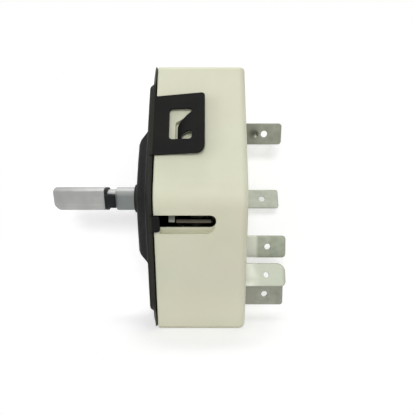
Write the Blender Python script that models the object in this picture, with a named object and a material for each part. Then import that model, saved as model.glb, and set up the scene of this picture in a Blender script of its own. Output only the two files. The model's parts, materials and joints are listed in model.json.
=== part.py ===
"""Infinite switch for a cooker hob or a dryer: a moulded case closed by a steel
front plate, a D shaft to the front and blade terminals at the back.

Sizes are in millimetres. x runs from the shaft tip to the terminals, y from the
near side to the far side and z up; the plate meets the case at x = 0 and the
shaft's axis is y = z = 0. Everything is moved at the end, so that the origin is
under the middle of the whole part's box.
"""
import math

import bpy
import bmesh

for old in list(bpy.data.objects):
    bpy.data.objects.remove(old, do_unlink=True)

# Case
HALF_HEIGHT = 32.6
RIDGE_HALF = 24.47      # half width at the side ridges, before they are rounded
END_HALF = 12.9         # half width at the flat ends
RIDGE_ROUND = 8.0
CORNER_ROUND = 1.6
CASE_FRONT = 0.25
CASE_BACK = 21.8
WALL = 2.4
BACK_WALL = 3.0
BACK_ROUND = 1.5

# Front plate
SHEET = 0.65
PLATE_BACK = -0.05
PANEL_HALF = 27.7       # half height of the raised panel
PANEL_INSET = 2.4
PANEL_RISE = 1.2
PLATE_CHAMFER = 0.4     # the plate is coined thinner at its two ends
BOSS_HALF_Y = 19.7      # at the foot of the dished middle
BOSS_HALF_Z = 17.1
BOSS_CORNER = 8.2
BOSS_RISE = 2.9
NECK_RISE = 2.55         # the neck in front of the plate
NECK_RADIUS = 3.95
SHAFT_BORE = 3.475
SCREW_SPACING = 22.2
SCREW_RADIUS = 1.75

# Shaft
SHAFT_RADIUS = 3.175    # a quarter inch across
SHAFT_TIP = -29.7
SHAFT_END = 14.4
SHAFT_FLAT = 1.575      # from the axis to the flat
FLAT_ANGLE = 202.0      # direction the flat faces, in degrees from +y towards +z
GROOVE = (-15.75, -12.35)
GROOVE_RADIUS = 2.6
COLLAR = (-3.85, -2.85)
COLLAR_RADIUS = 4.6

# Cam
CAM_DISC = (1.6, 4.6)
CAM_DISC_RADIUS = 9.0
CAM_TRACK_END = 7.6
CAM_END = 12.2
CAM_OFF_RADIUS = 5.9
CAM_LIFT = 1.0
CAM_TURN = 330.0
LOBE_RADIUS = 5.6
LOBE_BASE = 4.6
SPRING_SEAT = (4.0, 5.2)

# Arm with the bimetal
PIN_RADIUS = 0.8
CARRIER_RADIUS = 1.75
ARM_SLOPE = -0.1455
ARM_THICK = 0.9
ARM_BELOW = 2.46        # from the cam's track to the arm's line, under the shaft
HEATER = (-8.3, -3.3)

# Terminals: quarter inch blades
BLADE = 6.35
BLADE_THICK = 0.8
TAB_TIP = 34.8
SIDE_CLEAR = 3.87       # from the far wall's inside to the two terminals beside it
FOOT_CLEAR = 5.6        # from the case's lower end to the lowest terminal
FOOT_STEP = 6.05        # from that one to the next

GAP = 0.3               # between touching pieces
MM = 0.001

# What follows from the sizes above
SLOPE = (RIDGE_HALF - END_HALF) / HALF_HEIGHT
LEAN = math.atan(SLOPE)
INNER_WALL = CASE_BACK - BACK_WALL


def inner_side(z):
    """Half width of the space inside the case at a height."""
    return RIDGE_HALF - SLOPE * abs(z) - WALL / math.cos(LEAN)


PIVOT_Z = -(CAM_OFF_RADIUS + 5.0)
PIVOT = (inner_side(PIVOT_Z) - CARRIER_RADIUS - 0.7, PIVOT_Z)
ARM_END = -(inner_side(CAM_OFF_RADIUS) - 1.53)
SLOT_Z = -(CAM_OFF_RADIUS + ARM_BELOW) + ARM_SLOPE * ARM_END + 0.05
SLOT_HALF = 1.35
BLADE_Z = LOBE_RADIUS + 2.2     # root of the two blades above the cam
BLADE_WALL = -(inner_side(BLADE_Z + 2.6) - GAP)
SNAP_Z = -(CAM_OFF_RADIUS + 8.7)
SNAP_WALL = -(inner_side(SNAP_Z - 2.6) - GAP)
CONTACT_Y = 11.0

# y, z, tilt in degrees, tip, inner end, hole radius, corner radius above and below
TERMINALS = {
    "terminal_pilot": (inner_side(19.8) - SIDE_CLEAR, 19.8, -19.0, TAB_TIP, 9.8, 1.0, 0.9, 0.9),
    "terminal_load_out": (inner_side(0.2) - SIDE_CLEAR, 0.2, 22.0, TAB_TIP + 0.2, 7.4, 0.95, 0.8, 0.8),
    "terminal_heat_out": (4.7, SNAP_Z + 1.0, -5.0, TAB_TIP, 7.5, 0.85, 1.0, 1.0),
    "terminal_heat_in": (-1.5, -HALF_HEIGHT + FOOT_CLEAR + FOOT_STEP, 12.0, TAB_TIP - 1.0, 12.0, 0.75, 2.3, 1.3),
    "terminal_load_in": (3.0, -HALF_HEIGHT + FOOT_CLEAR, -9.0, TAB_TIP - 1.0, 12.0, 0.85, 0.7, 0.7),
}
SHIFT_X = -(SHAFT_TIP + max(t[3] for t in TERMINALS.values())) / 2


def material(name, colour, metallic, roughness):
    m = bpy.data.materials.new(name)
    m.use_nodes = True
    shader = m.node_tree.nodes["Principled BSDF"]
    shader.inputs["Base Color"].default_value = (*colour, 1.0)
    shader.inputs["Metallic"].default_value = metallic
    shader.inputs["Roughness"].default_value = roughness
    return m


MATERIALS = {name: material(name, *values) for name, values in {
    "case_plastic": ((0.66, 0.64, 0.50), 0.0, 0.45),
    "black_steel": ((0.03, 0.03, 0.028), 0.6, 0.4),
    "shaft_steel": ((0.55, 0.55, 0.53), 1.0, 0.35),
    "spring_black": ((0.02, 0.02, 0.022), 0.3, 0.5),
    "tinned_brass": ((0.62, 0.63, 0.55), 1.0, 0.35),
    "spring_steel": ((0.5, 0.5, 0.48), 1.0, 0.3),
    "cam_plastic": ((0.12, 0.11, 0.10), 0.0, 0.5),
    "block_plastic": ((0.05, 0.04, 0.035), 0.0, 0.55),
    "copper_strip": ((0.72, 0.42, 0.24), 1.0, 0.35),
    "bimetal": ((0.42, 0.41, 0.36), 1.0, 0.4),
    "contact_silver": ((0.8, 0.8, 0.78), 1.0, 0.25),
    "mica": ((0.62, 0.55, 0.40), 0.0, 0.5),
    "heater_wire": ((0.35, 0.33, 0.32), 1.0, 0.4),
    "ceramic": ((0.8, 0.78, 0.72), 0.0, 0.5),
}.items()}


def place(x, y, z):
    return (x + SHIFT_X) * MM, y * MM, (z + HALF_HEIGHT) * MM


def solid(name, verts, faces, slot=None):
    """One object from points in millimetres; without a slot it is a cutter."""
    mesh = bpy.data.meshes.new(name)
    mesh.from_pydata([place(*v) for v in verts], [], faces)
    bm = bmesh.new()
    bm.from_mesh(mesh)
    bmesh.ops.recalc_face_normals(bm, faces=bm.faces)
    bm.to_mesh(mesh)
    bm.free()
    mesh.shade_smooth()
    mesh.set_sharp_from_angle(angle=math.radians(33))
    obj = bpy.data.objects.new(name, mesh)
    bpy.context.scene.collection.objects.link(obj)
    if slot:
        mesh.materials.append(MATERIALS[slot])
    else:
        obj.hide_render = True
        obj.display_type = "WIRE"
    return obj


def boolean(target, tool, operation):
    mod = target.modifiers.new(tool.name, "BOOLEAN")
    mod.operation = operation
    mod.solver = "EXACT"
    mod.object = tool


def shells(*parts):
    """Several closed shells as one list of points and one of faces."""
    verts, faces = [], []
    for v, f in parts:
        faces += [tuple(i + len(verts) for i in face) for face in f]
        verts += v
    return verts, faces


def loft(loops, ring=False):
    """Loops of equal length joined in order; ends capped, or joined as a ring."""
    n = len(loops[0])
    verts = [p for loop in loops for p in loop]
    faces = []
    for k in range(len(loops) if ring else len(loops) - 1):
        a, b = k * n, (k + 1) % len(loops) * n
        for i in range(n):
            j = (i + 1) % n
            faces.append((a + i, a + j, b + j, b + i))
    if not ring:
        faces.append(tuple(range(n))[::-1])
        faces.append(tuple(range((len(loops) - 1) * n, len(loops) * n)))
    return verts, faces


def prism(points, x0, x1):
    """A polygon of (y, z) points between two x positions."""
    return loft([[(x, y, z) for y, z in points] for x in (x0, x1)])


def box(x0, x1, y0, y1, z0, z1):
    return prism([(y0, z0), (y1, z0), (y1, z1), (y0, z1)], x0, x1)


def arc(centre, radius, start, end, steps):
    return [
        (
            centre[0] + radius * math.cos(math.radians(start + (end - start) * i / steps)),
            centre[1] + radius * math.sin(math.radians(start + (end - start) * i / steps)),
        )
        for i in range(steps + 1)
    ]


def round_x(radius, x0, x1, centre=(0.0, 0.0), n=32):
    """A cylinder along x."""
    return prism(arc(centre, radius, 0, 360 - 360 / n, n - 1), x0, x1)


def round_z(radius, z0, z1, x, y, n=24, edge=0.0):
    """A cylinder along z, with small chamfers."""
    steps = [(radius - edge, z0), (radius, z0 + edge), (radius, z1 - edge), (radius - edge, z1)]
    if not edge:
        steps = [steps[0], steps[-1]]
    return loft([[(px, py, z) for px, py in arc((x, y), r, 0, 360 - 360 / n, n - 1)] for r, z in steps])


def rounded(corners, between=0):
    """A closed polygon with each corner (y, z, radius, steps) rounded."""
    points = []
    for i, (cy, cz, radius, steps) in enumerate(corners):
        ay, az = corners[i - 1][:2]
        by, bz = corners[(i + 1) % len(corners)][:2]
        ua, ub = (ay - cy, az - cz), (by - cy, bz - cz)
        la, lb = math.hypot(*ua), math.hypot(*ub)
        ua, ub = (ua[0] / la, ua[1] / la), (ub[0] / lb, ub[1] / lb)
        half = math.acos(max(-1.0, min(1.0, ua[0] * ub[0] + ua[1] * ub[1]))) / 2
        reach = radius / math.tan(half)
        middle = (ua[0] + ub[0], ua[1] + ub[1])
        lm = math.hypot(*middle)
        far = radius / math.sin(half)
        my, mz = cy + middle[0] / lm * far, cz + middle[1] / lm * far
        start = math.degrees(math.atan2(cz + ua[1] * reach - mz, cy + ua[0] * reach - my))
        end = math.degrees(math.atan2(cz + ub[1] * reach - mz, cy + ub[0] * reach - my))
        sweep = (end - start + 180) % 360 - 180
        points.append(arc((my, mz), radius, start, start + sweep, steps))
    out = []
    for i, run in enumerate(points):
        out += run
        a, b = run[-1], points[(i + 1) % len(points)][0]
        for k in range(between):
            t = (k + 1) / (between + 1)
            out.append((a[0] + (b[0] - a[0]) * t, a[1] + (b[1] - a[1]) * t))
    return out


def outline(inset=0.0, top=None, bottom=None, between=0):
    """The case's six-sided outline, moved inwards."""
    up = HALF_HEIGHT - (inset if top is None else top)
    down = HALF_HEIGHT - (inset if bottom is None else bottom)
    apex = RIDGE_HALF - inset / math.cos(LEAN)
    ridge = max(RIDGE_ROUND - inset, 1.0)
    corner = max(CORNER_ROUND - inset, 0.5)
    return rounded([
        (apex, 0.0, ridge, 6),
        (apex - SLOPE * up, up, corner, 3),
        (-apex + SLOPE * up, up, corner, 3),
        (-apex, 0.0, ridge, 6),
        (-apex + SLOPE * down, -down, corner, 3),
        (apex - SLOPE * down, -down, corner, 3),
    ], between)


def at(loop, x):
    return [(x, y, z) for y, z in loop]


def face_point(x, z, out, side=-1):
    """A point over the upper near side face (side -1), or the lower far one (side 1)."""
    y = -(RIDGE_HALF - SLOPE * z) - out * math.cos(LEAN)
    up = z + out * math.sin(LEAN)
    return (x, y, up) if side < 0 else (x, -y, -up)


def low_face_point(x, z, out, side=-1):
    """A point over the lower near side face (side -1), or the upper far one."""
    y = -(RIDGE_HALF + SLOPE * z) - out * math.cos(LEAN)
    up = z - out * math.sin(LEAN)
    return (x, y, up) if side < 0 else (x, -y, -up)


def face_prism(corners, point=face_point, side=-1):
    """A slab on a side face from (x, z, inner, outer) corners."""
    return loft([[point(x, z, inner, side) for x, z, inner, outer in corners],
                 [point(x, z, outer, side) for x, z, inner, outer in corners]])


# The case
def make_case():
    back = [(0.0, 0.0), (0.42, 0.09), (0.75, 0.3), (0.93, 0.6), (1.0, 1.0)]
    loops = [at(outline(0.3), CASE_FRONT), at(outline(), CASE_FRONT + 0.3)]
    for along, inwards in back:
        x = CASE_BACK - BACK_ROUND + along * BACK_ROUND
        loops.append(at(outline(inwards * 1.6, top=inwards * 0.9, bottom=inwards * 1.9), x))
    loops = [at(outline(WALL), INNER_WALL), at(outline(WALL), CASE_FRONT)] + loops
    case = solid("housing", *loft(loops), "case_plastic")

    posts = shells(
        round_x(SHAFT_BORE + 1.725, CAM_END + GAP, INNER_WALL + 1.0),
        round_x(CARRIER_RADIUS + 0.25, 14.2, INNER_WALL + 1.0, PIVOT, 24),
        round_x(1.1, CAM_DISC[0] + 0.2, INNER_WALL + 1.0, (11.0, CAM_DISC_RADIUS + 3.6), 16),
        round_x(1.1, CAM_DISC[0] + 0.2, INNER_WALL + 1.0, (-11.0, CAM_DISC_RADIUS + 3.6), 16),
    )
    boolean(case, solid("case_posts", *posts), "UNION")

    bores = [round_x(SHAFT_BORE, CAM_END, INNER_WALL - 0.6), round_x(PIN_RADIUS + GAP, 14.0, INNER_WALL - 0.6, PIVOT, 24)]
    for y, z, tilt, *_ in TERMINALS.values():
        t = math.radians(tilt)
        half_w, half_n = BLADE / 2 + GAP, BLADE_THICK / 2 + GAP
        corners = [
            (y + math.sin(t) * w - math.cos(t) * n, z + math.cos(t) * w + math.sin(t) * n)
            for w, n in ((-half_w, -half_n), (half_w, -half_n), (half_w, half_n), (-half_w, half_n))
        ]
        bores.append(prism(corners, INNER_WALL - 0.6, CASE_BACK + 1.0))
    slot = arc((13.15, SLOT_Z), SLOT_HALF, -90, 90, 10)
    slot = [(-1.0, SLOT_Z - SLOT_HALF)] + slot + [(-1.0, SLOT_Z + SLOT_HALF)]
    bores.append(loft([[(x, y, z) for x, z in slot] for y in (-RIDGE_HALF - 1, 2.5 - inner_side(SLOT_Z))]))
    for side in (-1, 1):
        bores.append(face_prism([
            (5.0, 12.9, -1.45, 0.6), (8.95, 14.0, -1.45, 0.6), (8.95, 19.9, -1.45, 0.6), (5.0, 17.4, -1.45, 0.6),
        ], side=side))
    boolean(case, solid("case_bores", *shells(*bores)), "DIFFERENCE")

    low = SLOT_Z - SLOT_HALF
    lip = face_prism([
        (x, low + z, -0.2 - (0.4 - z) * 0.5, 0.5)
        for x, z in [(1.6, -1.6), (12.7, -1.6), (13.6, -1.1), (14.2, -0.2), (14.25, 0.4), (1.6, 0.4)]
    ], low_face_point)
    boolean(case, solid("case_slot_lip", *lip), "DIFFERENCE")


# The front plate
def cast(polygon, angle):
    """The distance from the middle to a polygon, along an angle."""
    dy, dz = math.cos(angle), math.sin(angle)
    best = 0.0
    for i, (ay, az) in enumerate(polygon):
        by, bz = polygon[(i + 1) % len(polygon)]
        ey, ez = by - ay, bz - az
        det = ey * dz - ez * dy
        if abs(det) < 1e-12:
            continue
        r = (ey * az - ez * ay) / det
        t = (dy * az - dz * ay) / det
        if r > 0 and -1e-6 <= t <= 1 + 1e-6:
            best = max(best, r)
    return best


def make_plate():
    edge = outline(0.0, bottom=0.5, between=4)
    angles = [math.atan2(z, y) for y, z in edge]

    def ring(polygon, x):
        return [(x, math.cos(a) * r, math.sin(a) * r) for a in angles for r in [cast(polygon, a)]]

    def circle(radius, x):
        return [(x, math.cos(a) * radius, math.sin(a) * radius) for a in angles]

    def boss(inset, x):
        corner = BOSS_CORNER - inset * 1.1
        hy, hz = BOSS_HALF_Y - inset, BOSS_HALF_Z - inset
        box_like = rounded([(hy, -hz, corner, 7), (hy, hz, corner, 7), (-hy, hz, corner, 7), (-hy, -hz, corner, 7)])
        limit = outline(PANEL_INSET + 1.1 + inset, top=cut, bottom=cut)
        return [(x, math.cos(a) * r, math.sin(a) * r) for a in angles for r in [min(cast(box_like, a), cast(limit, a))]]

    front = PLATE_BACK - SHEET
    panel = front - PANEL_RISE
    flat = panel - BOSS_RISE
    neck_front = flat - NECK_RISE
    cut = HALF_HEIGHT - PANEL_HALF
    levels = [
        lambda d: at(edge, front + d if d else front + PLATE_CHAMFER),
        lambda d: ring(outline(0.25, top=2.9, bottom=2.9), front + d),
        lambda d: ring(outline(PANEL_INSET - 0.7, top=cut - 0.7, bottom=cut - 0.7), front + d),
        lambda d: ring(outline(PANEL_INSET - 0.1, top=cut - 0.1, bottom=cut - 0.1), panel + 0.25 + d),
        lambda d: ring(outline(PANEL_INSET + 0.4, top=cut + 0.4, bottom=cut + 0.4), panel + d),
        lambda d: boss(0.0, panel + d),
        lambda d: boss(0.55, panel - BOSS_RISE * 0.1 + d),
        lambda d: boss(1.2, panel - BOSS_RISE * 0.27 + d),
        lambda d: boss(2.0, panel - BOSS_RISE * 0.5 + d),
        lambda d: boss(2.8, panel - BOSS_RISE * 0.73 + d),
        lambda d: boss(3.8, panel - BOSS_RISE * 0.92 + d),
        lambda d: boss(5.0, flat + d),
    ]
    loops = [level(0.0) for level in levels]
    loops += [circle(NECK_RADIUS + 0.6, flat), circle(NECK_RADIUS, flat - 0.5)]
    loops += [circle(NECK_RADIUS, neck_front + 0.25), circle(NECK_RADIUS - 0.2, neck_front), circle(SHAFT_BORE, neck_front)]
    loops += [circle(SHAFT_BORE, flat + SHEET)]
    loops += [level(SHEET) for level in reversed(levels)]
    plate = solid("front_plate", *loft(loops, ring=True), "black_steel")

    half = SCREW_SPACING / 2
    necks = shells(*[round_x(SCREW_RADIUS + 0.7, flat + 0.2, flat + 2.1, (s * half, 0.0), 20) for s in (-1, 1)])
    boolean(plate, solid("plate_necks", *necks), "UNION")

    ears = []
    lug = (SLOT_Z - SLOT_HALF - 0.85, SLOT_Z + SLOT_HALF - 0.1)
    for side in (-1, 1):
        root = -0.12
        ears.append(face_prism([
            (front + 0.02, 9.5, -1.6, 0.85), (root, 9.5, -1.6, 0.85), (root, 23.5, -1.6, 0.85), (front + 0.02, 23.5, -1.6, 0.85),
        ], side=side))
        ears.append(face_prism([
            (front + 0.02, lug[0] + 0.1, -1.4, 0.8), (root, lug[0] + 0.1, -1.4, 0.8), (root, lug[1] - 0.1, -1.4, 0.8), (front + 0.02, lug[1] - 0.1, -1.4, 0.8),
        ], low_face_point, side))
    boolean(plate, solid("plate_ear_roots", *shells(*ears)), "UNION")

    def lift(x):
        return GAP + max(0.0, x) / 11.9 * 0.95

    def ear_slab(corners, thick=SHEET):
        return [(x, z, lift(x), lift(x) + thick) for x, z in corners]

    tabs = []
    for side in (-1, 1):
        corner = arc((9.95, 11.35), 1.95, -90, 0, 5) + arc((11.1, 23.4), 0.8, 0, 90, 3)
        tabs.append(face_prism(ear_slab([(front + 0.01, 9.25)] + corner + [(front + 0.01, 23.6)]), side=side))
        tabs.append(face_prism([
            (x, z, GAP, GAP + SHEET)
            for x, z in [(front + 0.01, lug[0])] + arc((1.2, lug[0] + 0.6), 0.6, -90, 0, 3) + arc((1.2, lug[1] - 0.5), 0.5, 0, 90, 3) + [(front + 0.01, lug[1])]
        ], low_face_point, side))
    boolean(plate, solid("plate_ears", *shells(*tabs)), "UNION")

    holes = [round_x(SCREW_RADIUS, flat - 1, flat + 3, (s * half, 0.0), 20) for s in (-1, 1)]
    for side in (-1, 1):
        window = rounded([(3.6, 12.7, 0.8, 3), (8.95, 12.7, 0.8, 3), (8.95, 20.4, 0.8, 3), (3.6, 20.4, 0.8, 3)])
        holes.append(face_prism([(x, z, -0.1, 3.0) for x, z in window], side=side))
    boolean(plate, solid("plate_holes", *shells(*holes)), "DIFFERENCE")

    tongues = []
    for side in (-1, 1):
        shape = [
            (5.5, 13.15), (6.2, 13.3), (6.4, 14.1), (6.9, 14.75), (7.7, 15.1), (8.5, 15.0), (9.3, 14.5),
            (9.3, 19.5), (8.75, 19.45), (7.55, 18.85), (6.4, 17.9), (5.8, 17.25), (5.5, 16.6),
        ]
        corners = []
        for x, z in shape:
            inner = lift(x) - max(0.0, 8.6 - x) * 0.62
            corners.append((x, z, inner + 0.03, inner + SHEET - 0.03))
        tongues.append(face_prism(corners, side=side))
    boolean(plate, solid("plate_tongues", *shells(*tongues)), "UNION")


# The shaft and its clip
def d_loop(radius, x, flat=None, low=0.0):
    """A loop round the shaft, with a run of points for the flat; low cuts it from below."""
    half = math.degrees(math.acos(SHAFT_FLAT / SHAFT_RADIUS))
    angles = [FLAT_ANGLE + half + (360 - 2 * half) * i / 30 for i in range(31)]
    angles += [FLAT_ANGLE - half + 2 * half * i / 8 for i in range(1, 8)]
    out = []
    for a in angles:
        r = radius
        if flat is not None:
            near = math.cos(math.radians(a - FLAT_ANGLE))
            if near > 0.01:
                r = min(radius, flat / near)
        down = -math.sin(math.radians(a))
        if low and down > 0.01:
            r = min(r, (SHAFT_RADIUS - low) / down)
        out.append((x, r * math.cos(math.radians(a)), r * math.sin(math.radians(a))))
    return out


def make_shaft():
    r, f = SHAFT_RADIUS, SHAFT_FLAT
    g0, g1 = GROOVE
    steps = [
        (r - 0.35, SHAFT_TIP, f - 0.2, 1.5), (r - 0.08, SHAFT_TIP + 0.25, f, 0.95), (r, SHAFT_TIP + 0.6, f, 0.55),
        (r, SHAFT_TIP + 1.1, f, 0.2), (r, SHAFT_TIP + 1.7, f, 0.0),
        (r, g0, f, 0), (GROOVE_RADIUS, g0 + 0.05, f, 0), (GROOVE_RADIUS, g1 - 0.35, f, 0), (r, g1, f, 0),
        (r, COLLAR[0], f, 0), (COLLAR_RADIUS, COLLAR[0] + 0.01, None, 0), (COLLAR_RADIUS, COLLAR[1], None, 0),
        (r, COLLAR[1] + 0.01, f, 0), (r, CAM_END + 0.4, f, 0), (r, CAM_END + 0.7, None, 0),
        (r, SHAFT_END - 0.4, None, 0), (r - 0.4, SHAFT_END, None, 0),
    ]
    solid("shaft", *loft([d_loop(*step[:3], low=step[3]) for step in steps]), "shaft_steel")

    a = math.radians(FLAT_ANGLE)
    n, t = (math.cos(a), math.sin(a)), (-math.sin(a), math.cos(a))

    def local(out, along):
        return out * n[0] + along * t[0], out * n[1] + along * t[1]

    g0, g1 = GROOVE
    inner, outer = f + GAP, 2.5
    pad = rounded([(*local(inner, -2.05), 0.1, 2), (*local(outer, -1.85), 0.35, 3), (*local(outer, 1.85), 0.35, 3), (*local(inner, 2.05), 0.1, 2)])
    clip = solid("shaft_clip", *prism(pad, g0 + 0.2, g1 - 0.3), "spring_black")
    start = FLAT_ANGLE + 34
    hoop = GROOVE_RADIUS + GAP
    wide = arc((0, 0), hoop + 0.25, start, start + 292, 26) + arc((0, 0), hoop, start + 292, start, 26)
    loop = prism(wide, g0 + 0.22, g0 + 0.95)
    boolean(clip, solid("clip_loop", *loop), "UNION")


# The return spring between the collar and the cam
def wire(name, points, radius, slot):
    curve = bpy.data.curves.new(name, "CURVE")
    curve.dimensions = "3D"
    curve.bevel_depth = radius * MM
    curve.bevel_resolution = 1
    curve.use_fill_caps = True
    spline = curve.splines.new("POLY")
    spline.points.add(len(points) - 1)
    for point, p in zip(spline.points, points):
        point.co = (*place(*p), 1.0)
    curve.materials.append(MATERIALS[slot])
    obj = bpy.data.objects.new(name, curve)
    bpy.context.scene.collection.objects.link(obj)
    return obj


def make_spring():
    x0, x1 = COLLAR[1] + GAP + 0.25, SPRING_SEAT[0] - GAP - 0.25
    turns, per = 4.0, 18
    points = []
    for i in range(int(turns * per) + 1):
        a = 2 * math.pi * i / per
        points.append((x0 + (x1 - x0) * i / (turns * per), 4.05 * math.cos(a), 4.05 * math.sin(a)))
    wire("return_spring", points, 0.25, "spring_steel")


# The cam
def cam_loop(radius_at, x, n=72):
    out = []
    for i in range(n):
        a = 360.0 * i / n
        r = radius_at(a)
        out.append((x, r * math.cos(math.radians(a)), r * math.sin(math.radians(a))))
    return out


def make_cam():
    def spiral(a):
        turned = (-90.0 - a) % 360
        if turned <= CAM_TURN:
            return CAM_OFF_RADIUS - CAM_LIFT * turned / CAM_TURN
        if turned <= 342:
            return CAM_OFF_RADIUS - CAM_LIFT
        return CAM_OFF_RADIUS - CAM_LIFT * max(0.0, 356 - turned) / 14

    def lobe(a):
        off = abs((a - 90 + 180) % 360 - 180)
        return LOBE_BASE + (LOBE_RADIUS - LOBE_BASE) * min(1.0, max(0.0, (34 - off) / 14))

    def disc(a):
        notch = 0.0
        for centre in (90.0, 65.0):
            off = abs((a - centre + 180) % 360 - 180)
            notch = max(notch, 0.8 * max(0.0, 1 - off / 10))
        return CAM_DISC_RADIUS - notch

    def bore(a):
        near = math.cos(math.radians(a - FLAT_ANGLE))
        return min(SHAFT_BORE, (SHAFT_FLAT + GAP) / near) if near > 0.01 else SHAFT_BORE

    d0, d1 = CAM_DISC
    seat, seat_radius = SPRING_SEAT
    solid("control_cam", *loft([
        cam_loop(lambda a: disc(a) - 0.3, d0), cam_loop(disc, d0 + 0.3), cam_loop(disc, d1),
        cam_loop(spiral, d1), cam_loop(spiral, CAM_TRACK_END),
        cam_loop(lobe, CAM_TRACK_END), cam_loop(lobe, CAM_END), cam_loop(bore, CAM_END),
        cam_loop(bore, seat), cam_loop(lambda a: seat_radius, seat), cam_loop(lambda a: seat_radius, d0),
    ], ring=True), "cam_plastic")


# Strips bent in the y-z plane
def strip(path, thick, x0, x1):
    """A strip along a (y, z) path, as wide as x0 to x1."""
    upper, lower = [], []
    for i, (y, z) in enumerate(path):
        ay, az = path[max(i - 1, 0)]
        by, bz = path[min(i + 1, len(path) - 1)]
        length = math.hypot(by - ay, bz - az)
        ny, nz = -(bz - az) / length, (by - ay) / length
        stretch = 1.0
        if 0 < i < len(path) - 1:
            length = math.hypot(by - y, bz - z)
            stretch = 1 / max(0.5, abs(-(bz - z) / length * ny + (by - y) / length * nz))
        half = thick / 2 * stretch
        upper.append((y + ny * half, z + nz * half))
        lower.append((y - ny * half, z - nz * half))
    return prism(upper + lower[::-1], x0, x1)


def make_terminals():
    for name, (y, z, tilt, tip, inner, hole_radius, above, below) in TERMINALS.items():
        t = math.radians(tilt)
        shoulder = INNER_WALL - 0.35
        root, half, edge, bevel = 2.4, BLADE / 2, BLADE_THICK / 2, 0.2
        step = CASE_BACK + 0.6 if name == "terminal_heat_out" else None

        def point(x, w, n):
            return x, y + math.sin(t) * w - math.cos(t) * n, z + math.cos(t) * w + math.sin(t) * n

        def corner(x, radius):
            return radius - math.sqrt(max(0.0, radius ** 2 - max(0.0, x - tip + radius) ** 2))

        def offset(x):
            """The joggle that brings the blade forward outside the case."""
            return 0.0 if step is None else 0.85 * min(1.0, max(0.0, (x - step) / 3.9))

        def section(x, low, high, thick):
            n = offset(x)
            ring = [
                (low + bevel, n - thick), (high - bevel, n - thick), (high, n - thick + bevel), (high, n + thick - bevel),
                (high - bevel, n + thick), (low + bevel, n + thick), (low, n + thick - bevel), (low, n - thick + bevel),
            ]
            return [point(x, w, k) for w, k in ring]

        loops = [section(inner, -root, root, edge), section(shoulder, -root, root, edge), section(shoulder + 0.3, -half, half, edge)]
        if step is not None:
            loops += [section(step, -half, half, edge), section(step + 3.9, -half, half, edge)]
        big = max(above, below)
        for k in range(6):
            x = tip - big + big * math.sin(math.radians(18 * k))
            thick = edge if x < tip - 0.5 else edge - 0.14 * (x - tip + 0.5) / 0.5
            loops.append(section(x, -half + min(corner(x, below), below * 0.8), half - min(corner(x, above), above * 0.8), thick))
        blade = solid(name, *loft(loops), "tinned_brass")
        hole = arc((tip - 5.2, 0.0), hole_radius, 0, 345, 23)
        drill = [loft([[point(x, w, n) for x, w in hole] for n in (-2.0, 2.5)])]
        if name == "terminal_pilot":
            drill.append(loft([
                [point(x, w, n) for x, w in arc((tip - 7.9, 0.0), radius, 0, 340, 17)]
                for radius, n in ((1.3, edge + 0.1), (0.95, edge - 0.1), (0.35, edge - 0.4))
            ]))
        boolean(blade, solid(name + "_hole", *shells(*drill)), "DIFFERENCE")
        seat = BLADE_Z - 4.4
        bracket = None
        if name == "terminal_pilot":
            far = CONTACT_Y + 2.6
            bracket = strip([(y + 0.85, z - 1.8), (far, z - 6.4), (far, seat), (CONTACT_Y - 1.4, seat)], 0.6, 10.1, 12.0)
        elif name == "terminal_load_out":
            bracket = strip([(y + 0.15, z + 0.4), (y - 1.0, seat), (CONTACT_Y - 1.4, seat)], 0.6, 7.7, 9.6)
        elif name == "terminal_heat_out":
            bracket = strip([(y + 0.05, SNAP_Z + 3.0), (-0.7, SNAP_Z + 3.0)], 0.6, 7.8, 11.5)
        if bracket:
            boolean(blade, solid(name + "_bracket", *bracket), "UNION")


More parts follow.
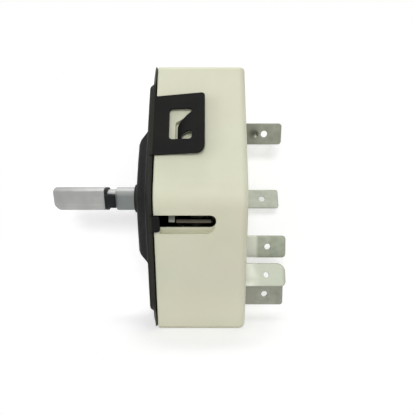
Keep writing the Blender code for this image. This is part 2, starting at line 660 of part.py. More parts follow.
# Contacts, blades and their blocks
def make_contacts():
    near = LOBE_RADIUS + GAP + 0.35
    for name, x0, x1 in (("line", 7.7, 9.6), ("pilot", 10.1, 12.0)):
        path = [
            (BLADE_WALL + 0.5, BLADE_Z), (BLADE_WALL + 3.0, BLADE_Z), (-1.6, near + 0.9), (-0.5, near), (0.5, near),
            (1.6, near + 0.8), (CONTACT_Y + 1.3, near + 0.35),
        ]
        solid(name + "_blade", *strip(path, 0.3, x0, x1), "copper_strip")
        middle = (x0 + x1) / 2
        solid(name + "_moving_contact", *round_z(0.9, near - 0.75, near - 0.05, middle, CONTACT_Y, edge=0.12), "contact_silver")
        solid(name + "_fixed_contact", *round_z(0.9, BLADE_Z - 3.8, BLADE_Z - 3.0, middle, CONTACT_Y, edge=0.12), "contact_silver")

    solid("snap_blade", *strip([(SNAP_WALL + 0.6, SNAP_Z), (2.6, SNAP_Z)], 0.4, 7.5, 11.5), "copper_strip")
    solid("cycle_moving_contact", *round_z(1.35, SNAP_Z + 0.5, SNAP_Z + 1.25, 9.6, 0.9, edge=0.15), "contact_silver")
    solid("cycle_fixed_contact", *round_z(1.35, SNAP_Z + 1.55, SNAP_Z + 2.4, 9.6, 0.9, edge=0.15), "contact_silver")

    def block(wall, z, low, high, half, x1):
        deep, notch = wall + 3.0, wall + 0.35
        return prism([
            (wall, z - low), (deep, z - low), (deep, z - half), (notch, z - half), (notch, z + half), (deep, z + half),
            (deep, z + high), (wall, z + high),
        ], 7.0, x1)

    solid("blade_block", *block(BLADE_WALL, BLADE_Z, 2.8, 2.6, 0.45, INNER_WALL - 0.5), "block_plastic")
    solid("snap_block", *block(SNAP_WALL, SNAP_Z, 2.6, 2.6, 0.5, INNER_WALL - 2.0), "block_plastic")

    # Flat strips behind the arm, from the two lowest terminals to the blocks
    y, z = TERMINALS["terminal_load_in"][:2]
    foot, waist = inner_side(z - 1.3), inner_side(SNAP_Z + 2.6)
    solid("load_bus", *prism([
        (y - 0.8, z - 1.3), (y - 0.8, z + 1.0), (3.3 - foot, z + 1.0), (4.4 - waist, SNAP_Z + 2.6),
        (BLADE_WALL + 3.5, BLADE_Z - 3.1), (BLADE_WALL + 1.0, BLADE_Z - 3.1), (1.75 - waist, SNAP_Z + 2.6), (1.3 - foot, z - 1.3),
    ], INNER_WALL - 1.5, INNER_WALL - 0.8), "copper_strip")
    y, z = TERMINALS["terminal_heat_in"][:2]
    solid("heat_bus", *prism([
        (y - 0.9, z + 0.3), (y - 0.9, z + 2.4), (SNAP_WALL + 3.35, SNAP_Z), (SNAP_WALL + 3.35, SNAP_Z - 2.2),
    ], INNER_WALL - 2.7, INNER_WALL - 2.0), "copper_strip")


# The arm that carries the bimetal
def arm_z(y):
    return -(CAM_OFF_RADIUS + ARM_BELOW) + ARM_SLOPE * y


def arm_point(y, out):
    """A point on the arm's line, moved out square to it."""
    length = math.hypot(1.0, ARM_SLOPE)
    return y - out * ARM_SLOPE / length, arm_z(y) + out / length


def make_arm():
    end, tail_start = ARM_END, PIVOT[0] - 2.2
    plan = [
        (5.1, end), (13.4, end), (13.4, end + 5.0), (12.6, end + 5.8), (12.6, tail_start), (6.4, tail_start),
        (6.4, end + 5.8), (5.1, end + 5.0),
    ]
    solid("bimetal_strip", *loft([[(x, *arm_point(y, out)) for x, y in plan] for out in (-ARM_THICK / 2, ARM_THICK / 2)]), "bimetal")
    carrier = solid("arm_carrier", *round_x(CARRIER_RADIUS, 5.6, 13.0, PIVOT, 24), "spring_steel")
    y0, y1, near = PIVOT[0] - 6.0, PIVOT[0] + 0.2, -ARM_THICK / 2 - GAP
    tail = prism([arm_point(y, out) for y, out in ((y0, near - 0.8), (y1, near - 0.8), (y1, near), (y0, near))], 5.7, 12.9)
    boolean(carrier, solid("carrier_tail", *tail), "UNION")
    boolean(carrier, solid("carrier_bore", *round_x(PIN_RADIUS + GAP, 5.0, 13.6, PIVOT, 24)), "DIFFERENCE")
    solid("arm_pivot_pin", *round_x(PIN_RADIUS, 4.6, INNER_WALL - 0.9, PIVOT, 20), "spring_steel")
    foot = arm_z(0.0) + ARM_THICK / 2 + GAP + 0.05
    top = -CAM_OFF_RADIUS - GAP
    solid("cam_follower", *prism([(-1.0, foot + 0.1), (1.0, foot - 0.1)] + arc((0.0, top - 0.8), 0.8, 0, 180, 8), 5.3, 7.3), "ceramic")
    solid("end_lug", *prism([
        (end, arm_z(end) - 0.3), (end + 0.9, arm_z(end + 0.9) - 0.3), (end + 0.9, SLOT_Z + SLOT_HALF), (end, SLOT_Z + SLOT_HALF),
    ], 3.3, 4.8), "spring_steel")
    solid("push_pin", *round_z(0.8, SNAP_Z + 0.5, arm_z(-9.5) - ARM_THICK / 2 - GAP - 0.1, 9.6, -9.5, 20, 0.15), "ceramic")

    y0, y1 = HEATER

    def frame(y, wide_low, wide_high, half):
        return [(wide_low, *arm_point(y, -half)), (wide_high, *arm_point(y, -half)), (wide_high, *arm_point(y, half)), (wide_low, *arm_point(y, half))]

    inner, outer = ARM_THICK / 2 + GAP, ARM_THICK / 2 + GAP + 0.25
    solid("heater_sleeve", *loft([
        frame(y0, 5.85, 13.15, outer), frame(y1, 5.85, 13.15, outer), frame(y1, 6.1, 12.9, inner), frame(y0, 6.1, 12.9, inner),
    ], ring=True), "mica")
    coils, half = range(7), outer + GAP + 0.2
    points = []
    for i in coils:
        for k, (x, out) in enumerate(((5.35, -half), (13.65, -half), (13.65, half), (5.35, half))):
            y = y0 + 0.4 + (y1 - y0 - 0.8) * (i + k / 4) / len(coils)
            points.append((x, *arm_point(y, out)))
    wire("heater_winding", points, 0.18, "heater_wire")


def make_detent():
    half = [(0.5, 0.55), (1.2, 0.9), (2.6, 1.4), (9.0, 1.9), (11.6, 1.9)]
    path = [(side * y, CAM_DISC_RADIUS + rise) for side, part in ((-1, half[::-1]), (1, half)) for y, rise in part]
    solid("detent_spring", *strip(path, 0.35, CAM_DISC[0] + 0.5, CAM_DISC[1] - 0.4), "spring_steel")


make_case()
make_plate()
make_shaft()
make_spring()
make_cam()
make_terminals()
make_contacts()
make_arm()
make_detent()
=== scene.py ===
import json
import math

import bmesh
import bpy
from mathutils import Matrix, Vector


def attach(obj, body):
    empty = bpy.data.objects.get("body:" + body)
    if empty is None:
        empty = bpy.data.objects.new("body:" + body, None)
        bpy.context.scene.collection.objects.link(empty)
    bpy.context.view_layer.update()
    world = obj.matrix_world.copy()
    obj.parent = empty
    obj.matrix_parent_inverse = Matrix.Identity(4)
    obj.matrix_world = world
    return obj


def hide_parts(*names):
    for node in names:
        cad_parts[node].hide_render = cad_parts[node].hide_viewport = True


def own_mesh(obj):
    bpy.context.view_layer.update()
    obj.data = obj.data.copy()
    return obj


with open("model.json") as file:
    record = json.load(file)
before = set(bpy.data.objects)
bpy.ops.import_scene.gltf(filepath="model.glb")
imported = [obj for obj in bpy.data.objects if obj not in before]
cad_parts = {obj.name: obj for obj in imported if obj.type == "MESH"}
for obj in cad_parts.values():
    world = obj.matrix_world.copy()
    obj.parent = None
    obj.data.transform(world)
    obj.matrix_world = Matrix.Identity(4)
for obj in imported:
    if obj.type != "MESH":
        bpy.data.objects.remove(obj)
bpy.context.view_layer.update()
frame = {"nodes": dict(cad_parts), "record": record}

nodes = frame["nodes"]
print("switch parts loaded:", len(nodes))


# A finish is one material: a few texture nodes in front of its shader. Lengths are in metres.
# A noise has a size in waves per metre, or a stretch that gives it for each axis.
# A span is (low, high, start, end): low where its field is at start, high where it is at end.
# A bump is (strength, depth).

def startFinish(name, sockets):
    material = bpy.data.materials.new(name)
    material.use_nodes = True
    tree = material.node_tree
    shader = tree.nodes["Principled BSDF"]
    for socket, value in sockets.items():
        shader.inputs[socket].default_value = value
    place = tree.nodes.new("ShaderNodeTexCoord").outputs["Object"]
    return material, tree, shader, place


def noiseOn(tree, place, look):
    mapping = tree.nodes.new("ShaderNodeMapping")
    mapping.inputs["Scale"].default_value = look.get("stretch", (1, 1, 1))
    tree.links.new(place, mapping.inputs["Vector"])
    noise = tree.nodes.new("ShaderNodeTexNoise")
    noise.inputs["Scale"].default_value = look.get("size", 1)
    noise.inputs["Detail"].default_value = look["detail"]
    noise.inputs["Roughness"].default_value = look.get("rough", 0.5)
    tree.links.new(mapping.outputs["Vector"], noise.inputs["Vector"])
    return noise.outputs["Fac"]


def rampOn(tree, field, stops):
    ramp = tree.nodes.new("ShaderNodeValToRGB")
    ramp.color_ramp.elements[0].position = stops[0][0]
    ramp.color_ramp.elements[0].color = (*stops[0][1], 1)
    ramp.color_ramp.elements[1].position = stops[-1][0]
    ramp.color_ramp.elements[1].color = (*stops[-1][1], 1)
    for where, colour in stops[1:-1]:
        ramp.color_ramp.elements.new(where).color = (*colour, 1)
    tree.links.new(field, ramp.inputs["Fac"])
    return ramp.outputs["Color"]


def rangeOn(tree, field, low, high, start=0.3, end=0.7):
    spread = tree.nodes.new("ShaderNodeMapRange")
    spread.inputs["From Min"].default_value = start
    spread.inputs["From Max"].default_value = end
    spread.inputs["To Min"].default_value = low
    spread.inputs["To Max"].default_value = high
    tree.links.new(field, spread.inputs["Value"])
    return spread.outputs["Result"]


def mathOn(tree, kind, first, second=None):
    node = tree.nodes.new("ShaderNodeMath")
    node.operation = kind
    tree.links.new(first, node.inputs[0])
    if second:
        tree.links.new(second, node.inputs[1])
    return node.outputs["Value"]


def mixOn(tree, share, first, second, kind="MIX"):
    mix = tree.nodes.new("ShaderNodeMix")
    mix.data_type = "RGBA"
    mix.blend_type = kind
    if isinstance(share, float):
        mix.inputs["Factor"].default_value = share
    else:
        tree.links.new(share, mix.inputs["Factor"])
    for socket, value in ((mix.inputs["A"], first), (mix.inputs["B"], second)):
        if isinstance(value, tuple):
            socket.default_value = (*value, 1)
        else:
            tree.links.new(value, socket)
    return mix.outputs["Result"]


def axesOf(tree, vector):
    parts = tree.nodes.new("ShaderNodeSeparateXYZ")
    tree.links.new(vector, parts.inputs["Vector"])
    return parts.outputs


def centredOn(tree, place, centre, stretch=(1, 1, 1)):
    mapping = tree.nodes.new("ShaderNodeMapping")
    mapping.inputs["Location"].default_value = tuple(-c * s for c, s in zip(centre, stretch))
    mapping.inputs["Scale"].default_value = stretch
    tree.links.new(place, mapping.inputs["Vector"])
    return mapping.outputs["Vector"]


def awayOn(tree, place, centre, stretch=(1, 1, 1)):
    away = tree.nodes.new("ShaderNodeVectorMath")
    away.operation = "LENGTH"
    tree.links.new(centredOn(tree, place, centre, stretch), away.inputs[0])
    return away.outputs["Value"]


def bumpOn(tree, shader, paintedShadeByHeight):
    before = None
    for field, (strength, depth) in paintedShadeByHeight:
        bump = tree.nodes.new("ShaderNodeBump")
        bump.inputs["Strength"].default_value = strength
        bump.inputs["Distance"].default_value = depth
        tree.links.new(field, bump.inputs["Height"])
        if before:
            tree.links.new(before, bump.inputs["Normal"])
        before = bump.outputs["Normal"]
    tree.links.new(before, shader.inputs["Normal"])


def finishWith(tree, shader, colour, roughness, paintedShadeByHeight):
    tree.links.new(colour, shader.inputs["Base Color"])
    tree.links.new(roughness, shader.inputs["Roughness"])
    bumpOn(tree, shader, paintedShadeByHeight)


# The cream case: a hard moulding with a faint cloud, a warm ageing and fine specks, and painted
# light and shade by height

casePlastic = {
    "shine": 0.35,
    "light": (0.778, 0.794, 0.622),
    "dark": (0.728, 0.733, 0.561),
    "cloud": {"size": 70, "detail": 4},
    "cloudStops": (0.3, 0.7),
    "cloudBump": (0.15, 0.0004),
    "warm": (0.778, 0.739, 0.589),
    "warmCloud": {"size": 38, "detail": 2},
    "warmSpan": (0.0, 0.75, 0.42, 0.68),
    "speck": (0.50, 0.47, 0.34),
    "grain": {"size": 2600, "detail": 2},
    "speckSpan": (0.0, 0.3, 0.66, 0.8),
    "grainBump": (0.12, 0.00004),
    "rough": (0.46, 0.58),
    "paintedShadeByHeight": [  # painted light and shade by height: up the case in metres, and how much of its colour is kept there; darkest in the middle, lighter at the foot and the top
        (0.004, (0.95, 0.96, 0.96)),
        (0.0095, (0.86, 0.87, 0.865)),
        (0.0125, (0.825, 0.835, 0.835)),
        (0.0175, (0.81, 0.81, 0.81)),
        (0.0295, (0.82, 0.805, 0.80)),
        (0.0325, (0.88, 0.87, 0.865)),
        (0.036, (0.905, 0.905, 0.905)),
    ],
}


def caseFinish():
    v = casePlastic
    material, tree, shader, place = startFinish("caseCream", {"Specular IOR Level": v["shine"]})
    cloud = noiseOn(tree, place, v["cloud"])
    grain = noiseOn(tree, place, v["grain"])
    base = rampOn(tree, cloud, list(zip(v["cloudStops"], (v["dark"], v["light"]))))
    aged = rangeOn(tree, noiseOn(tree, place, v["warmCloud"]), *v["warmSpan"])
    specks = rangeOn(tree, grain, *v["speckSpan"])
    top = v["paintedShadeByHeight"][-1][0]
    up = rangeOn(tree, axesOf(tree, place)["Z"], 0.0, 1.0, 0.0, top)
    # painted light and shade: the case colour is darkened by height, most in the middle, in place
    # of how the light falls on it
    paintedShade = rampOn(tree, up, [(z / top, kept) for z, kept in v["paintedShadeByHeight"]])
    agedAndShaded = mixOn(tree, 1.0, mixOn(tree, aged, base, v["warm"]), paintedShade, "MULTIPLY")
    finishWith(
        tree, shader, mixOn(tree, specks, agedAndShaded, v["speck"]), rangeOn(tree, grain, *v["rough"]),
        [(cloud, v["cloudBump"]), (grain, v["grainBump"])],
    )
    return material


# The black sheet steel of the plate, bare where it was cut at its two ends, with painted shade on
# its panel's sloping sides and a painted highlight on its edges

plateSteel = {
    "shine": 0.08,
    "black": (0.0085, 0.0087, 0.0092),
    "brown": (0.0135, 0.013, 0.0115),
    "stain": {"size": 90, "detail": 5, "rough": 0.6},
    "stainStops": (0.35, 0.7),
    "stainBump": (0.1, 0.0002),
    "peel": {"size": 1500, "detail": 3},
    "peelBump": (0.18, 0.00004),
    "rough": (0.45, 0.6),
    "sheetAlong": (1.0, 0.0, -0.0028, -0.0026),  # along X, the sheet without its ears and lugs
    "streak": (0.030, 0.030, 0.027),
    "streakLines": {"stretch": (1500, 1500, 22), "detail": 3},
    "streakSpan": (0.0, 0.3, 0.5, 0.72),
    "wall": (0.0035, 0.0036, 0.004),  # painted shade: the sloping sides of the raised panel are darker, in place of the sheen the lamps put on them
    "wallFacing": [(0.0, 1.0, 0.6, 0.72), (1.0, 0.0, 0.93, 0.98)],
    "rimHighlight": (0.026, 0.026, 0.021),  # painted highlight on the sheet's own edge, seen end on
    "rimFacing": (1.0, 0.0, 0.58, 0.7),
    "cutEdge": (0.15, 0.155, 0.125),
    "middle": (0, 0, 0.0326),
    "cutUp": (0.0, 1.0, 0.0272, 0.0285),  # up and down from the middle
    "cutFacing": (0.75, 0.0, 0.35, 0.8),
}


def plateFinish():
    v = plateSteel
    material, tree, shader, place = startFinish("plateBlack", {"Specular IOR Level": v["shine"]})
    stain = noiseOn(tree, place, v["stain"])
    peel = noiseOn(tree, place, v["peel"])
    black = rampOn(tree, stain, list(zip(v["stainStops"], (v["black"], v["brown"]))))
    sheet = rangeOn(tree, axesOf(tree, place)["X"], *v["sheetAlong"])
    lines = rangeOn(tree, noiseOn(tree, place, v["streakLines"]), *v["streakSpan"])
    black = mixOn(tree, mathOn(tree, "MULTIPLY", sheet, lines), black, v["streak"])
    normal = tree.nodes.new("ShaderNodeNewGeometry").outputs["Normal"]
    across = mathOn(tree, "ABSOLUTE", axesOf(tree, normal)["X"])
    # painted shade on the panel's sloping sides, picked by which way they face
    walls = mathOn(tree, "MULTIPLY", *[rangeOn(tree, across, *span) for span in v["wallFacing"]])
    # painted highlight along the sheet's edges
    rimHighlight = mathOn(tree, "MULTIPLY", sheet, rangeOn(tree, across, *v["rimFacing"]))
    black = mixOn(tree, rimHighlight, mixOn(tree, walls, black, v["wall"]), v["rimHighlight"])
    height = mathOn(tree, "ABSOLUTE", axesOf(tree, centredOn(tree, place, v["middle"]))["Z"])
    ends = rangeOn(tree, height, *v["cutUp"])
    cut = mathOn(tree, "MULTIPLY", ends, rangeOn(tree, across, *v["cutFacing"]))
    finishWith(
        tree, shader, mixOn(tree, cut, black, v["cutEdge"]), rangeOn(tree, peel, *v["rough"]),
        [(peel, v["peelBump"]), (stain, v["stainBump"])],
    )
    return material


# The shaft: drawn steel, bright towards the tip and duller on its collar by the plate, where
# painted light and shade make the collar lighter on top and darker below

shaftSteel = {
    "bright": (0.46, 0.46, 0.45),
    "dull": (0.35, 0.35, 0.345),
    "cloud": {"size": 160, "detail": 4},
    "cloudStops": (0.3, 0.7),
    "drawn": {"stretch": (40, 2600, 2600), "detail": 4},
    "drawnSpan": (0.0, 0.5, 0.35, 0.75),
    "drawnBump": (0.18, 0.00003),
    "turned": {"stretch": (2600, 60, 60), "detail": 3},
    "turnedBump": (0.12, 0.00003),
    "rough": (0.34, 0.5),
    # painted shade below and painted light on top of the collar, over its duller tone
    "collar": (0.24, 0.26, 0.255),
    "collarTop": (0.40, 0.41, 0.40),
    "collarAlong": (0.0, 1.0, -0.0190, -0.0180),
    "collarUp": (0.0, 1.0, 0.0331, 0.0342),
    "collarRough": 0.56,
}


def shaftFinish():
    v = shaftSteel
    material, tree, shader, place = startFinish("shaftDrawnSteel", {"Metallic": 1.0})
    axes = axesOf(tree, place)
    drawn = noiseOn(tree, place, v["drawn"])
    turned = noiseOn(tree, place, v["turned"])
    cloud = noiseOn(tree, place, v["cloud"])
    base = rampOn(tree, cloud, list(zip(v["cloudStops"], (v["dull"], v["bright"]))))
    lined = mixOn(tree, rangeOn(tree, drawn, *v["drawnSpan"]), base, v["dull"])
    along = rangeOn(tree, axes["X"], *v["collarAlong"])
    # painted light and shade: the collar is darker below and lighter on its top
    collar = mixOn(tree, rangeOn(tree, axes["Z"], *v["collarUp"]), v["collar"], v["collarTop"])
    rough = mixOn(tree, along, rangeOn(tree, cloud, *v["rough"]), (v["collarRough"],) * 3)
    finishWith(
        tree, shader, mixOn(tree, along, lined, collar), rough,
        [(drawn, v["drawnBump"]), (turned, v["turnedBump"])],
    )
    return material


# The five blades: tin over brass, each with its own tone, partly its age and partly painted light
# and shade for how it catches the light, and painted light and shade at its foot by the case

bladeTin = {
    "terminal_pilot": {
        "bright": (0.325, 0.34, 0.275), "dull": (0.235, 0.245, 0.192), "rough": (0.36, 0.52),
        "foot": (0.215, 0.22, 0.172), "footAlong": (0.8, 0.0, 0.0236, 0.0262),
    },
    "terminal_load_out": {
        "bright": (0.455, 0.475, 0.40), "dull": (0.345, 0.365, 0.30), "rough": (0.3, 0.45),
        "foot": (0.44, 0.45, 0.39), "footAlong": (0.8, 0.0, 0.0225, 0.0237),
    },
    "terminal_heat_out": {
        "bright": (0.36, 0.385, 0.305), "dull": (0.26, 0.28, 0.22), "rough": (0.32, 0.48),
        "foot": (0.60, 0.61, 0.53), "footAlong": (0.8, 0.0, 0.0236, 0.0244),
    },
    "terminal_heat_in": {
        "bright": (0.40, 0.42, 0.35), "dull": (0.325, 0.345, 0.285), "rough": (0.52, 0.62),
        "foot": (0.48, 0.49, 0.425), "footAlong": (0.8, 0.0, 0.0216, 0.0246),
    },
    "terminal_load_in": {
        "bright": (0.33, 0.34, 0.28), "dull": (0.23, 0.24, 0.19), "rough": (0.34, 0.5),
        "foot": (0.28, 0.285, 0.235), "footAlong": (0.8, 0.0, 0.0225, 0.0237),
    },
}
tinGrain = {
    "spangle": {"size": 420, "detail": 5, "rough": 0.65},
    "spangleStops": (0.3, 0.72),
    "spangleBump": (0.12, 0.00008),
    "brushed": {"stretch": (60, 1800, 1800), "detail": 3},
    "brushedBump": (0.1, 0.00002),
}
dimpleShade = {  # painted shade: a dark spot in the pilot blade's dimple, over its glint
    "blade": "terminal_pilot",
    "at": (0.0237, 0.0107, 0.0525),
    "colour": (0.07, 0.07, 0.056),
    "span": (0.85, 0.0, 0.0004, 0.0019),
}


def bladeFinish(name):
    v = bladeTin[name]
    material, tree, shader, place = startFinish("tin_" + name, {"Metallic": 1.0})
    spangle = noiseOn(tree, place, tinGrain["spangle"])
    brushed = noiseOn(tree, place, tinGrain["brushed"])
    base = rampOn(tree, spangle, list(zip(tinGrain["spangleStops"], (v["dull"], v["bright"]))))
    # painted light and shade at the blade's foot: lighter on some blades, darker on others
    foot = rangeOn(tree, axesOf(tree, place)["X"], *v["footAlong"])
    colour = mixOn(tree, foot, base, v["foot"])
    if name == dimpleShade["blade"]:
        # painted shade in the pilot blade's dimple
        dimpleShadeMask = rangeOn(tree, awayOn(tree, place, dimpleShade["at"]), *dimpleShade["span"])
        colour = mixOn(tree, dimpleShadeMask, colour, dimpleShade["colour"])
    finishWith(
        tree, shader, colour, rangeOn(tree, spangle, *v["rough"]),
        [(spangle, tinGrain["spangleBump"]), (brushed, tinGrain["brushedBump"])],
    )
    return material


# The clip: blackened spring steel, a little worn

clipBlack = {
    "shine": 0.15,
    "black": (0.0075, 0.0085, 0.0095),
    "worn": (0.016, 0.018, 0.020),
    "wear": {"size": 500, "detail": 5},
    "wearStops": (0.45, 0.75),
    "wearBump": (0.15, 0.00004),
    "rough": (0.35, 0.5),
}


def clipFinish():
    v = clipBlack
    sockets = {"Specular IOR Level": v["shine"]}
    material, tree, shader, place = startFinish("clipSpringBlack", sockets)
    wear = noiseOn(tree, place, v["wear"])
    colour = rampOn(tree, wear, list(zip(v["wearStops"], (v["black"], v["worn"]))))
    finishWith(tree, shader, colour, rangeOn(tree, wear, *v["rough"]), [(wear, v["wearBump"])])
    return material


# The inside: each row is (light, dark, rough, cloud size, stretch of its lines or grain)

innerKinds = {
    "metal": {"sockets": {"Metallic": 1.0}, "detail": 3, "bump": (0.15, 0.00002)},
    "moulding": {"sockets": {"Specular IOR Level": 0.4}, "detail": 2, "bump": (0.12, 0.00003)},
}
innerCloud = {"detail": 5, "rough": 0.6}
innerStops = (0.3, 0.7)
innerLooks = {
    "metal": {
        "springSteel": ((0.52, 0.52, 0.50), (0.38, 0.38, 0.37), (0.28, 0.42), 300, (400, 60, 400)),
        # painted shade: the end lug's plating is made dark for the slot it sits in
        "lugPaintedShade": ((0.25, 0.255, 0.22), (0.18, 0.185, 0.16), (0.4, 0.55), 400, (600, 600, 60)),
        "copperStrip": ((0.68, 0.42, 0.25), (0.50, 0.28, 0.16), (0.3, 0.45), 220, (900, 60, 900)),
        # the bimetal's dark brown is partly its own colour and partly painted shade for the slot
        # it lies in
        "bimetal": ((0.085, 0.08, 0.062), (0.03, 0.025, 0.021), (0.42, 0.58), 260, (900, 50, 900)),
        "contactSilver": (
            (0.80, 0.80, 0.78), (0.62, 0.61, 0.58), (0.22, 0.36), 700, (900, 900, 60),
        ),
        "heaterWire": ((0.34, 0.32, 0.30), (0.22, 0.18, 0.15), (0.35, 0.5), 600, (200, 200, 200)),
    },
    "moulding": {
        "camPlastic": ((0.10, 0.09, 0.08), (0.07, 0.065, 0.06), (0.42, 0.56), 500, (2500,) * 3),
        "blockPlastic": (
            (0.055, 0.045, 0.038), (0.035, 0.03, 0.026), (0.45, 0.6), 600, (3000,) * 3,
        ),
        "micaPressed": ((0.62, 0.55, 0.40), (0.42, 0.34, 0.22), (0.35, 0.55), 900, (4500,) * 3),
        "ceramicWhite": ((0.78, 0.76, 0.70), (0.70, 0.67, 0.60), (0.3, 0.45), 800, (4000,) * 3),
    },
}


def innerFinish(kind, name):
    v = innerKinds[kind]
    light, dark, rough, size, stretch = innerLooks[kind][name]
    material, tree, shader, place = startFinish(name, v["sockets"])
    cloud = noiseOn(tree, place, {"size": size, **innerCloud})
    grain = noiseOn(tree, place, {"stretch": stretch, "detail": v["detail"]})
    colour = rampOn(tree, cloud, list(zip(innerStops, (dark, light))))
    finishWith(tree, shader, colour, rangeOn(tree, cloud, *rough), [(grain, v["bump"])])
    return material


finishOf = {
    "case_plastic": caseFinish(),
    "black_steel": plateFinish(),
    "shaft_steel": shaftFinish(),
    "spring_black": clipFinish(),
    "spring_steel": innerFinish("metal", "springSteel"),
    "cam_plastic": innerFinish("moulding", "camPlastic"),
    "block_plastic": innerFinish("moulding", "blockPlastic"),
    "copper_strip": innerFinish("metal", "copperStrip"),
    "bimetal": innerFinish("metal", "bimetal"),
    "contact_silver": innerFinish("metal", "contactSilver"),
    "mica": innerFinish("moulding", "micaPressed"),
    "heater_wire": innerFinish("metal", "heaterWire"),
    "ceramic": innerFinish("moulding", "ceramicWhite"),
    "end_lug": innerFinish("metal", "lugPaintedShade"),
}
for name in bladeTin:
    finishOf[name] = bladeFinish(name)
print("finishes made:", len(finishOf))


# Every part takes its finish and has its facets joined; the parts in edgeBreak also have their
# flat faces cleaned and their edges broken

edgeBreak = {
    "front_plate": 0.00008,
    "shaft": 0.00008,
    "shaft_clip": 0.00006,
    "terminal_pilot": 0.00005,
    "terminal_load_out": 0.00005,
    "terminal_heat_out": 0.00005,
    "terminal_heat_in": 0.00005,
    "terminal_load_in": 0.00005,
    "control_cam": 0.00012,
    "blade_block": 0.00015,
    "snap_block": 0.00015,
    "end_lug": 0.00008,
    "bimetal_strip": 0.00008,
    "line_blade": 0.00004,
    "pilot_blade": 0.00004,
    "snap_blade": 0.00005,
    "load_bus": 0.00006,
    "heat_bus": 0.00006,
}
facetJoin = {"weld": 0.000001, "flat": 0.4, "crisp": 34, "steps": 2, "flatShare": 50}


def dressNode(node, finish, width):
    v = facetJoin
    node.data.materials.clear()
    node.data.materials.append(finish)
    weld = node.modifiers.new("joinFacets", "WELD")
    weld.merge_threshold = v["weld"]
    if width:
        flat = node.modifiers.new("cleanFlats", "DECIMATE")
        flat.decimate_type = "DISSOLVE"
        flat.angle_limit = math.radians(v["flat"])
        edge = node.modifiers.new("brokenEdges", "BEVEL")
        edge.width = width
        edge.segments = v["steps"]
        edge.limit_method = "ANGLE"
        edge.angle_limit = math.radians(v["crisp"])
        edge.use_clamp_overlap = True
    for face in node.data.polygons:
        face.use_smooth = True
    split = node.modifiers.new("crispEdges", "EDGE_SPLIT")
    split.split_angle = math.radians(v["crisp"])
    even = node.modifiers.new("evenFlats", "WEIGHTED_NORMAL")
    even.weight = v["flatShare"]
    even.keep_sharp = True


slotOf = {row["node"]: row["material_slot"] for row in frame["record"]["subparts"]}
for name, node in nodes.items():
    dressNode(node, finishOf.get(name) or finishOf[slotOf[name]], edgeBreak.get(name, 0))


# The return spring: a coil wound from one round wire

returnSpring = {
    "turns": 5.0,
    "wire": 0.00025,
    "radius": 0.00405,
    "start": -0.0052,
    "end": 0.00105,
    "height": 0.0326,
    "sides": 10,
    "steps": 30,
    "weld": 0.0000005,
}


def makeReturnSpring():
    v = returnSpring
    bm = bmesh.new()
    first = v["start"] + v["wire"]
    last = v["end"] - v["wire"]
    ring = bmesh.ops.create_circle(bm, segments=v["sides"], radius=v["wire"], cap_ends=True)
    bmesh.ops.translate(bm, verts=ring["verts"], vec=(first, v["radius"], v["height"]))
    steps = int(v["turns"] * v["steps"])
    bmesh.ops.spin(
        bm, geom=bm.verts[:] + bm.edges[:] + bm.faces[:],
        cent=(0, 0, v["height"]), axis=(1, 0, 0), dvec=((last - first) / steps, 0, 0),
        angle=math.radians(360 * v["turns"]), steps=steps, use_duplicate=False,
    )
    bmesh.ops.remove_doubles(bm, verts=bm.verts[:], dist=v["weld"])
    bmesh.ops.recalc_face_normals(bm, faces=bm.faces[:])
    mesh = bpy.data.meshes.new("woundSpring")
    for face in bm.faces:
        face.smooth = True
    bm.to_mesh(mesh)
    bm.free()
    coil = bpy.data.objects.new("woundSpring", mesh)
    bpy.context.scene.collection.objects.link(coil)
    mesh.materials.append(finishOf["spring_steel"])
    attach(coil, "cam")
    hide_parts("return_spring")
    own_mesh(coil)


makeReturnSpring()
print("parts dressed, spring wound")


# The floor and the sheet behind, lit a little by themselves near the object's shadow
# and white to the camera beyond it

paper = {
    "floor": {
        "at": (0, 0, 0), "turn": 0, "grey": 0.72, "lift": 2.56,
        "middle": (0.008, 0, 0.03), "squeeze": (2.0, 1, 1), "white": (0.0, 1.0, 0.046, 0.060),
    },
    "backSheet": {
        "at": (0, 0.0248, 0), "turn": 90, "grey": 0.80, "lift": 2.43,
        "middle": (0, 0, 0.03), "squeeze": (1, 1, 1), "white": (0.0, 1.0, 0.050, 0.064),
    },
}
paperStock = {
    "size": 3.0,
    "sockets": {"Roughness": 0.95, "Specular IOR Level": 0.0},
    "mottle": {"size": 30, "detail": 3},
    "mottleStops": (0.3, 0.7),
    "mottleDepth": 0.01,
    "liftShare": 0.2,
}


def glowOn(tree, strength):
    glow = tree.nodes.new("ShaderNodeEmission")
    glow.inputs["Strength"].default_value = strength
    return glow.outputs["Emission"]


def blendOn(tree, share, first, second):
    blend = tree.nodes.new("ShaderNodeMixShader")
    if isinstance(share, float):
        blend.inputs["Fac"].default_value = share
    else:
        tree.links.new(share, blend.inputs["Fac"])
    tree.links.new(first, blend.inputs[1])
    tree.links.new(second, blend.inputs[2])
    return blend.outputs["Shader"]


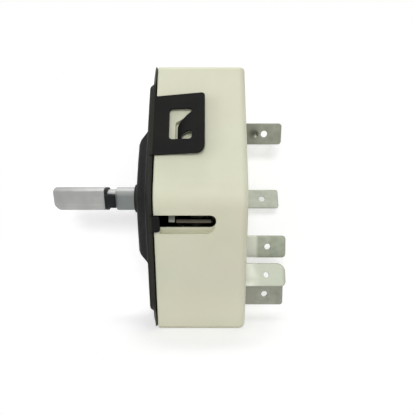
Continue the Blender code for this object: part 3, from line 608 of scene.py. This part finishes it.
def paperFinish(name):
    v = paper[name]
    material, tree, shader, place = startFinish(name + "Paper", paperStock["sockets"])
    greys = [(grey,) * 3 for grey in (v["grey"], v["grey"] + paperStock["mottleDepth"])]
    mottle = noiseOn(tree, place, paperStock["mottle"])
    grey = rampOn(tree, mottle, list(zip(paperStock["mottleStops"], greys)))
    tree.links.new(grey, shader.inputs["Base Color"])
    rays = tree.nodes.new("ShaderNodeLightPath").outputs
    plain = shader.outputs["BSDF"]
    white = glowOn(tree, 1.0)
    lifted = blendOn(tree, paperStock["liftShare"], plain, glowOn(tree, v["lift"]))
    away = awayOn(tree, place, v["middle"], v["squeeze"])
    faded = blendOn(tree, rangeOn(tree, away, *v["white"]), lifted, white)
    seen = blendOn(tree, rays["Is Camera Ray"], plain, faded)
    mirror = mathOn(tree, "MAXIMUM", rays["Is Glossy Ray"], rays["Is Transmission Ray"])
    last = blendOn(tree, mirror, seen, white)
    if v["turn"]:  # it isn't seen from behind, and the lamp behind it shines through
        clear = tree.nodes.new("ShaderNodeBsdfTransparent").outputs["BSDF"]
        behind = tree.nodes.new("ShaderNodeNewGeometry").outputs["Backfacing"]
        through = mathOn(tree, "MAXIMUM", behind, rays["Is Shadow Ray"])
        last = blendOn(tree, through, last, clear)
    tree.links.new(last, tree.nodes["Material Output"].inputs["Surface"])
    return material


def makePaper(name):
    v = paper[name]
    mesh = bpy.data.meshes.new(name)
    bm = bmesh.new()
    bmesh.ops.create_grid(bm, x_segments=1, y_segments=1, size=paperStock["size"])
    turned = Matrix.Rotation(math.radians(v["turn"]), 3, "X")
    bmesh.ops.rotate(bm, verts=bm.verts[:], cent=(0, 0, 0), matrix=turned)
    bmesh.ops.translate(bm, verts=bm.verts[:], vec=v["at"])
    bm.to_mesh(mesh)
    bm.free()
    sheet = bpy.data.objects.new(name, mesh)
    bpy.context.scene.collection.objects.link(sheet)
    mesh.materials.append(paperFinish(name))


studio = {"ambient": 0.33, "shown": 1.0}


def makeWorld():
    world = bpy.data.worlds.new("studioWhite")
    bpy.context.scene.world = world
    world.use_nodes = True
    tree = world.node_tree
    rays = tree.nodes.new("ShaderNodeLightPath").outputs
    mirror = mathOn(tree, "MAXIMUM", rays["Is Glossy Ray"], rays["Is Transmission Ray"])
    seen = mathOn(tree, "MAXIMUM", rays["Is Camera Ray"], mirror)
    level = rangeOn(tree, seen, studio["ambient"], studio["shown"], 0.0, 1.0)
    background = tree.nodes["Background"]
    background.inputs["Color"].default_value = (1, 1, 1, 1)
    tree.links.new(level, background.inputs["Strength"])


lamps = {
    "frontLeft": {"at": (-0.02, -0.50, 0.16), "size": 0.09, "watts": 0.55},
    "frontRight": {"at": (0.05, -0.50, 0.17), "size": 0.09, "watts": 0.42},
    "topSoft": {"at": (-0.03, 0.05, 0.50), "size": 0.14, "watts": 0.66},
    "leftSoft": {"at": (-0.46, -0.20, 0.12), "size": 0.22, "watts": 0.62},
    "rightSoft": {"at": (0.44, -0.26, 0.18), "size": 0.25, "watts": 0.14},
    "backSoft": {"at": (0.10, 0.40, 0.30), "size": 0.25, "watts": 0.75},
}
lampAim = (0, 0, 0.033)


def makeLamps():
    for name, v in lamps.items():
        lamp = bpy.data.lights.new(name, "AREA")
        lamp.energy = v["watts"]
        lamp.size = v["size"]
        holder = bpy.data.objects.new(name, lamp)
        bpy.context.scene.collection.objects.link(holder)
        holder.location = v["at"]
        beam = Vector(lampAim) - Vector(v["at"])
        holder.rotation_euler = beam.to_track_quat("-Z", "Y").to_euler()


cameraSet = {
    "at": (0.00985, -0.120, 0.0301),
    "turn": (90.0, 0.0, 0.0),  # level, looking along +Y
    "lens": 37.47,
    "sensor": 36.0,
    "clip": (0.005, 20.0),
}


def makeCamera():
    v = cameraSet
    camera = bpy.data.cameras.new("photoCamera")
    camera.lens = v["lens"]
    camera.sensor_width = v["sensor"]
    camera.clip_start, camera.clip_end = v["clip"]
    holder = bpy.data.objects.new("photoCamera", camera)
    bpy.context.scene.collection.objects.link(holder)
    holder.location = v["at"]
    holder.rotation_euler = [math.radians(angle) for angle in v["turn"]]
    bpy.context.scene.camera = holder


for name in paper:
    makePaper(name)
makeWorld()
makeLamps()
makeCamera()
bpy.context.scene.view_settings.view_transform = "Standard"
print("studio ready")
